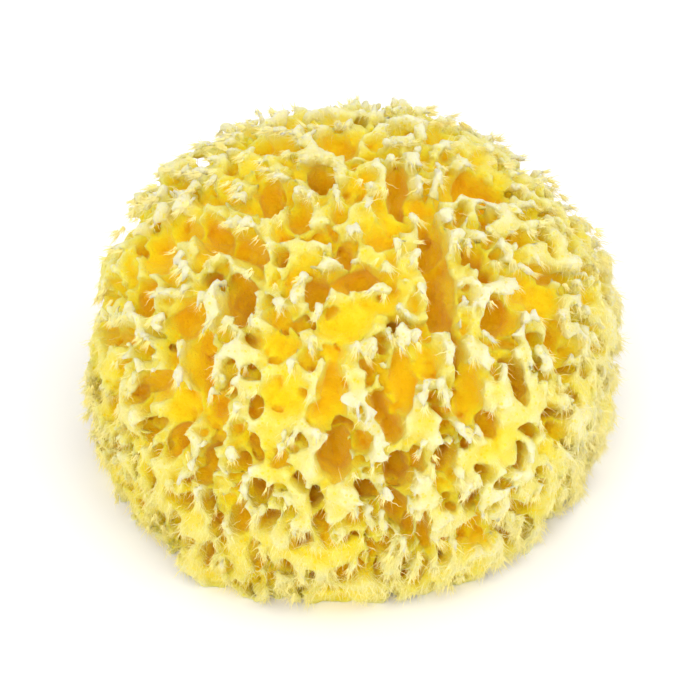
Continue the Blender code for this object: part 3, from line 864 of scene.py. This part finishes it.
def makeFibreMaterial(name):
    material = bpy.data.materials.new(name)
    material.use_nodes = True
    tree = material.node_tree
    links = tree.links
    shader = tree.nodes["Principled BSDF"]
    shallow, deep = finish["colours"][0][0], finish["colours"][-1][0]
    place = newNode(tree, "ShaderNodeTexCoord")
    # painted pore shade: small dark specks where tiny pores would hold shade
    scale, size, weight = finish["poreShade"]
    cell = newNode(tree, "ShaderNodeTexVoronoi")
    setInputs(cell, {"Scale": scale})
    links.new(place.outputs["Object"], cell.inputs["Vector"])
    speck = newNode(tree, "ShaderNodeMapRange")
    setInputs(speck, {"From Min": size, "From Max": size + finish["poreShadeEdge"],
                      "To Min": weight, "To Max": 0})
    links.new(cell.outputs["Distance"], speck.inputs["Value"])
    total = newNode(tree, "ShaderNodeMath", operation="ADD")
    links.new(speck.outputs[0], total.inputs[0])
    links.new(addLowShade(tree, place, finish["lowShadeShare"]).outputs[0], total.inputs[1])
    for scale, detail, weight in finish["mottles"]:
        mottle = newNode(tree, "ShaderNodeTexNoise")
        setInputs(mottle, {"Scale": scale, "Detail": detail})
        links.new(place.outputs["Object"], mottle.inputs["Vector"])
        centred = newNode(tree, "ShaderNodeMath", operation="SUBTRACT")
        centred.inputs[1].default_value = 0.5
        links.new(mottle.outputs["Fac"], centred.inputs[0])
        total = addWeighted(tree, total, centred.outputs[0], weight)
    # painted shade: deeper, more shut-in places are pushed towards amber and standing-out tips towards
    # cream
    for measure in ("depth", "tip", "shut"):
        read = newNode(tree, "ShaderNodeAttribute", attribute_name=measure)
        total = addWeighted(tree, total, read.outputs["Fac"], finish[measure + "Share"])
    spread = newNode(tree, "ShaderNodeMapRange")
    setInputs(spread, {"From Min": shallow, "From Max": deep})
    links.new(total.outputs[0], spread.inputs["Value"])
    ramp = newNode(tree, "ShaderNodeValToRGB")
    points = ramp.color_ramp.elements
    while len(points) < len(finish["colours"]):
        points.new(1.0)
    for point, (at, colour) in zip(points, finish["colours"]):
        point.position = (at - shallow) / (deep - shallow)
        point.color = colour
    links.new(spread.outputs["Result"], ramp.inputs["Fac"])
    links.new(ramp.outputs["Color"], shader.inputs["Base Color"])
    setInputs(shader, {
        "Roughness": finish["roughness"],
        "Specular IOR Level": finish["specular"],
        "Sheen Weight": finish["sheen"],
        "Subsurface Weight": finish["subsurface"],
        "Subsurface Scale": finish["subsurfaceScale"],
        "Subsurface Radius": finish["subsurfaceRadius"],
    })
    scale, detail, rough = finish["grain"]
    grain = newNode(tree, "ShaderNodeTexNoise")
    setInputs(grain, {"Scale": scale, "Detail": detail, "Roughness": rough})
    links.new(place.outputs["Object"], grain.inputs["Vector"])
    bump = newNode(tree, "ShaderNodeBump")
    setInputs(bump, {"Strength": finish["grainStrength"], "Distance": finish["grainDistance"]})
    links.new(grain.outputs["Fac"], bump.inputs["Height"])
    links.new(bump.outputs["Normal"], shader.inputs["Normal"])
    return material


def dress(obj, material):
    obj.data.materials.clear()
    obj.data.materials.append(material)
    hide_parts("sponge")
    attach(obj, "root")


dress(bodyObject, makeFibreMaterial("spongeFibre"))

# fibres: slim tapered slivers on the crests and tufts, lengths and widths in mm
hairs = {
    "rootGap": 0.4,  # a root further out of the body than this is left out
    "lowest": 0.3,  # and so is a fibre that would end lower than this
    "bendWider": 1.4,
    "bendNear": 0.05,
    "joinDistance": 0.001,
    "seed": 5,
}
# the frayed ends of the tufts
tuftEnds = {"along": 0.45, "away": 0.4}
prongs = {
    "count": 3000,
    "sides": 5,
    "bends": (0.7, -0.9),
    "fan": 0.2,
    "stray": 0.16,
    "length": (1.2, 3.0),
    "lowLonger": 1,
    "width": (0.12, 0.26),
}
brushes = {
    "count": 12200,
    "sides": 3,
    "bends": (2.0, -1.6),
    "fan": 0.35,
    "stray": 0.2,
    "length": (1.2, 3.6),
    "lowLonger": 1.3,
    "width": (0.06, 0.12),
}
# down and threads grow on the crests, more of them towards the foot and the right edge
growth = {
    "deepest": 3.5,
    "ridge": (3, 0.2),
    "foot": (0.045, 0.03),  # m, where the share starts to rise, and over how far
    "rightEdge": (0.045, 0.015),
    "least": 1e-9,
    "hang": 0.9,
}
down = {
    "count": 19000,  # in each of two pieces
    "bends": (1.2, -1.4),
    "above": 0.0012,  # m
    "everywhere": 0.4,
    "atFoot": 1,
    "out": 0.4,
    "stray": 0.25,
    "shortest": 0.4,
    "longer": (2.0, 0.35),  # shape and scale of a gamma spread
    "footLonger": 0.6,
    "rightLonger": 0.4,
    "longest": 3.6,
    "width": (0.045, 0.085),
    "sunk": 0.15,
}
threads = {
    "count": 8600,
    "bends": (4.0, -2.5, 3.5),
    "above": 0.003,  # m
    "everywhere": 0.2,
    "atFoot": 1.6,
    "out": 0.45,
    "stray": 0.35,
    "length": (1.8, 4.6),
    "width": (0.06, 0.11),
    "sunk": 0.2,
}


def makeSliver(name, bends, sides):
    bm = bmesh.new()
    bmesh.ops.create_cone(bm, cap_ends=True, segments=sides, radius1=1, radius2=0, depth=1)
    bmesh.ops.translate(bm, verts=bm.verts, vec=(0, 0, 0.5))
    for number, bend in enumerate(bends):
        level = (number + 1) / (len(bends) + 1)
        bmesh.ops.bisect_plane(bm, geom=bm.verts[:] + bm.edges[:] + bm.faces[:],
                               plane_co=(0, 0, level), plane_no=(0, 0, 1))
        for vert in bm.verts:
            if abs(vert.co.z - level) < hairs["bendNear"]:
                vert.co.x = vert.co.x * hairs["bendWider"] + bend
    bmesh.ops.remove_doubles(bm, verts=bm.verts, dist=hairs["joinDistance"])
    bmesh.ops.recalc_face_normals(bm, faces=bm.faces)
    return newObject(name, bm)


# one mesh of slivers: every point of the carrier gets one, turned and sized by its attributes
def plantSlivers(name, roots, ways, lengths, widths, sliver):
    bm = bmesh.new()
    for root in roots:
        bm.verts.new(root)
    obj = newObject(name, bm)
    turns = np.zeros((len(roots), 3), dtype=np.float32)
    turns[:, 1] = np.arccos(np.clip(ways[:, 2], -1, 1))
    turns[:, 2] = np.arctan2(ways[:, 1], ways[:, 0])
    sizes = np.stack((widths, widths, lengths), axis=1).astype(np.float32)
    for title, values in (("turn", turns), ("size", sizes)):
        layer = obj.data.attributes.new(title, "FLOAT_VECTOR", "POINT")
        layer.data.foreach_set("vector", values.ravel())
    group = bpy.data.node_groups.new(name, "GeometryNodeTree")
    group.interface.new_socket("Geometry", in_out="INPUT", socket_type="NodeSocketGeometry")
    group.interface.new_socket("Geometry", in_out="OUTPUT", socket_type="NodeSocketGeometry")
    points = newNode(group, "NodeGroupInput")
    result = newNode(group, "NodeGroupOutput")
    plant = newNode(group, "GeometryNodeInstanceOnPoints")
    real = newNode(group, "GeometryNodeRealizeInstances")
    model = newNode(group, "GeometryNodeObjectInfo")
    model.inputs["Object"].default_value = sliver
    toTurn = newNode(group, "FunctionNodeEulerToRotation")
    for title, target in (("turn", toTurn.inputs[0]), ("size", plant.inputs["Scale"])):
        read = newNode(group, "GeometryNodeInputNamedAttribute", data_type="FLOAT_VECTOR")
        read.inputs["Name"].default_value = title
        group.links.new(read.outputs["Attribute"], target)
    group.links.new(toTurn.outputs[0], plant.inputs["Rotation"])
    group.links.new(points.outputs[0], plant.inputs["Points"])
    group.links.new(model.outputs["Geometry"], plant.inputs["Instance"])
    group.links.new(plant.outputs["Instances"], real.inputs["Geometry"])
    group.links.new(real.outputs["Geometry"], result.inputs[0])
    nodes = obj.modifiers.new("slivers", "NODES")
    nodes.node_group = group
    applyModifiers(obj)
    for title in ("turn", "size"):
        layer = obj.data.attributes.get(title)
        if layer:
            obj.data.attributes.remove(layer)
    return obj


# seeded points on the body's faces, more of them where the weights of the corners are higher
def samplePlaces(rng, weights, count):
    mesh = bodyObject.data
    places = coordinates(mesh)
    corners = cornersOf(mesh, 3)
    one, two, three = (places[corners[:, side]] for side in range(3))
    cross = np.cross(two - one, three - one)
    area = np.linalg.norm(cross, axis=1) / 2
    weight = weights[corners].mean(axis=1) * area
    chosen = rng.choice(len(corners), count, p=weight / weight.sum())
    share = rng.random((count, 2))
    share = np.where(share.sum(axis=1, keepdims=True) > 1, 1 - share, share)
    points = (one[chosen] + (two - one)[chosen] * share[:, :1] + (three - one)[chosen] * share[:, 1:])
    normals = cross[chosen] / np.maximum(np.linalg.norm(cross[chosen], axis=1, keepdims=True), 1e-15)
    return points, normals, corners[chosen, 0]


def unit(vectors):
    return vectors / np.maximum(np.linalg.norm(vectors, axis=1, keepdims=True), 1e-9)


hairFinish = {
    "cream": linear(247, 240, 196),
    "yellow": linear(246, 232, 120),
    "mottle": 260,
    "lowShadeShare": 0.15,
    "roughness": 0.85,
    "specular": 0.2,
}


def makeHairMaterial():
    material = bpy.data.materials.new("spongeHair")
    material.use_nodes = True
    tree = material.node_tree
    shader = tree.nodes["Principled BSDF"]
    place = newNode(tree, "ShaderNodeTexCoord")
    mottle = newNode(tree, "ShaderNodeTexNoise")
    setInputs(mottle, {"Scale": hairFinish["mottle"]})
    tree.links.new(place.outputs["Object"], mottle.inputs["Vector"])
    mix = newNode(tree, "ShaderNodeMix", data_type="RGBA")
    mix.inputs["A"].default_value = hairFinish["cream"]
    mix.inputs["B"].default_value = hairFinish["yellow"]
    # painted shade: the hairs turn yellower towards the foot and the left
    lower = addLowShade(tree, place, hairFinish["lowShadeShare"])
    share = addWeighted(tree, lower, mottle.outputs["Fac"], 1)
    tree.links.new(share.outputs[0], mix.inputs["Factor"])
    tree.links.new(mix.outputs["Result"], shader.inputs["Base Color"])
    setInputs(shader, {"Roughness": hairFinish["roughness"],
                       "Specular IOR Level": hairFinish["specular"]})
    return material


def plantHairs(name, points, ways, lengths, widths, bends, material, sides=3):
    rooted = sampled(fibreField, points) < hairs["rootGap"]
    clear = (points[:, 2] > hairs["lowest"] * mm) & (
        points[:, 2] + np.minimum(ways[:, 2], 0) * lengths > hairs["lowest"] * mm)
    kept = rooted & clear
    points, ways, lengths, widths = (values[kept] for values in (points, ways, lengths, widths))
    sliver = makeSliver("sliver", bends, sides)
    obj = plantSlivers(name, points, ways, lengths, widths, sliver)
    dropObject(sliver)
    dress(obj, material)
    print(name, "planted:", len(obj.data.polygons), "faces")


# fibres that fan out from the ends of the tufts
def plantTuftEnds(rng, name, kind, material):
    roots = np.array([place + way * length * tuftEnds["along"] for place, way, length, _ in tuftList])
    aims = np.array([way for _, way, _, _ in tuftList])
    thick = np.array([half for _, _, _, half in tuftList])
    count = kind["count"]
    chosen = rng.integers(0, len(tuftList), count)
    away = rng.normal(0, tuftEnds["away"], (count, 3)) * thick[chosen, None]
    ways = unit(aims[chosen] + away / mm * kind["fan"] + rng.normal(0, kind["stray"], (count, 3)))
    isLow = roots[chosen, 2] < tufts["lowBelow"] * mm
    lengths = rng.uniform(*kind["length"], count) * np.where(isLow, kind["lowLonger"], 1) * mm
    widths = rng.uniform(*kind["width"], count) * mm
    plantHairs(name, roots[chosen] + away, ways, lengths, widths, kind["bends"], material, kind["sides"])


def hangingWays(rng, normals, kind):
    hang = np.array(pull) - normals * (normals @ np.array(pull))[:, None]
    stray = rng.normal(0, kind["stray"], normals.shape)
    return unit(unit(hang) * growth["hang"] + normals * kind["out"] + stray)


def makeHairs():
    rng = np.random.default_rng(hairs["seed"])
    material = makeHairMaterial()
    plantTuftEnds(rng, "spongeProngs", prongs, material)
    plantTuftEnds(rng, "spongeBrushes", brushes, material)
    places = coordinates(bodyObject.data)
    high = np.clip(1 - bodyDepth / growth["deepest"], 0, 1)
    ridge = np.clip(bodyTip * growth["ridge"][0] - growth["ridge"][1], 0, 1)
    below = np.clip((growth["foot"][0] - places[:, 2]) / growth["foot"][1], 0, 1)
    right = np.clip((places[:, 0] - growth["rightEdge"][0]) / growth["rightEdge"][1], 0, 1)

    def weightsOf(kind):
        share = kind["everywhere"] + below * kind["atFoot"] + right
        return high * ridge * share * (places[:, 2] > kind["above"]) + growth["least"]

    # short down, longer towards the foot and the right edge
    weights = weightsOf(down)
    for number, bend in enumerate(down["bends"]):
        points, normals, corner = samplePlaces(rng, weights, down["count"])
        ways = hangingWays(rng, normals, down)
        longer = 1 + below[corner] * down["footLonger"] + right[corner] * down["rightLonger"]
        lengths = (down["shortest"] + rng.gamma(*down["longer"], down["count"])) * longer * mm
        lengths = np.minimum(lengths, down["longest"] * mm)
        widths = rng.uniform(*down["width"], down["count"]) * mm
        plantHairs("spongeDown" + str(number + 1), points - ways * down["sunk"] * mm, ways,
                   lengths, widths, (bend,), material)
    # curled threads
    points, normals, _ = samplePlaces(rng, weightsOf(threads), threads["count"])
    ways = hangingWays(rng, normals, threads)
    lengths = rng.uniform(*threads["length"], threads["count"]) * mm
    widths = rng.uniform(*threads["width"], threads["count"]) * mm
    plantHairs("spongeThreads", points - ways * threads["sunk"] * mm, ways, lengths, widths,
               threads["bends"], material)


makeHairs()

# floor, light and surroundings
studio = {
    "floorSize": 3.0,
    "floorParts": 8,
    "floorColour": (0.98, 0.98, 0.98, 1),
    "floorRoughness": 0.9,
    "worldColour": (1.0, 1.0, 1.0, 1),
    "worldStrength": 0.95,
    "target": (0, 0, 0.03),
    # place, size and power
    "key": ((0.5, -0.3, 1.0), 0.8, 2.9),
    "fill": ((-0.2, -0.85, 0.78), 0.6, 4.0),
}


def makeFloor():
    bm = bmesh.new()
    parts = studio["floorParts"]
    bmesh.ops.create_grid(bm, x_segments=parts, y_segments=parts, size=studio["floorSize"] / 2)
    floor = newObject("floor", bm)
    material = bpy.data.materials.new("paleFloor")
    material.use_nodes = True
    shader = material.node_tree.nodes["Principled BSDF"]
    setInputs(shader, {"Base Color": studio["floorColour"], "Roughness": studio["floorRoughness"]})
    floor.data.materials.append(material)


def addLight(name):
    place, size, power = studio[name]
    data = bpy.data.lights.new(name, "AREA")
    data.shape = "DISK"
    data.size = size
    data.energy = power
    lamp = bpy.data.objects.new(name, data)
    lamp.location = place
    way = Vector(place) - Vector(studio["target"])
    lamp.rotation_euler = way.to_track_quat("Z", "Y").to_euler()
    bpy.context.scene.collection.objects.link(lamp)


def makeStudio():
    makeFloor()
    world = bpy.data.worlds.new("studio")
    bpy.context.scene.world = world
    world.use_nodes = True
    setInputs(world.node_tree.nodes["Background"],
              {"Color": studio["worldColour"], "Strength": studio["worldStrength"]})
    addLight("key")
    addLight("fill")
    bpy.context.scene.view_settings.view_transform = "Standard"


makeStudio()
print("studio set")
